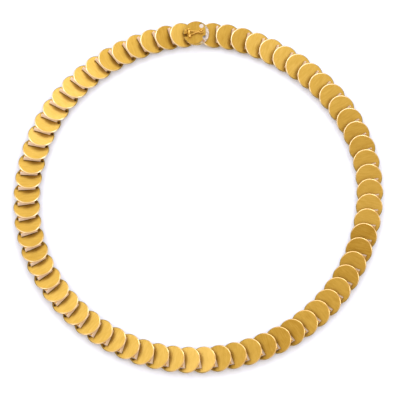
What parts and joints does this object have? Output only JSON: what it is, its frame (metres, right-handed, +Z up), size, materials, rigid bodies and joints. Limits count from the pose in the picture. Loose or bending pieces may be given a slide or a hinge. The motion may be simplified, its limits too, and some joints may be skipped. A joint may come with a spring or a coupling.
{
  "type": "choker",
  "caption": "Closed gold choker of overlapping round brushed discs, hinged under each front, with a box clasp and a figure-eight safety catch, lying flat.",
  "frame": {"origin": "middle of the loop's outline, on the surface that it lies on", "axes": "+Z up off the surface, +Y from the middle of the loop towards the clasp, +X to the right of the clasp as seen from above"},
  "size_m": [0.1366, 0.1358, 0.0045],
  "materials": {
    "brushed_gold": "gold with a fine straight brushed grain, its bevelled edges and risers polished",
    "polished_gold": "polished gold"
  },
  "bodies": {
    "choker": {"links_left": "brushed_gold", "links_right": "brushed_gold", "clasp_tongue": "brushed_gold", "clasp_case": "brushed_gold", "hinge_pin": "polished_gold"},
    "catch": {"safety_catch": "polished_gold"}
  },
  "joints": [
    {"name": "catch_hinge", "type": "hinge", "parent": "choker", "child": "catch", "pos_m": [-0.00343, 0.06283, 0.00385], "axis": [0.1714, -0.9852, 0], "range_deg": [0, 150]}
  ]
}
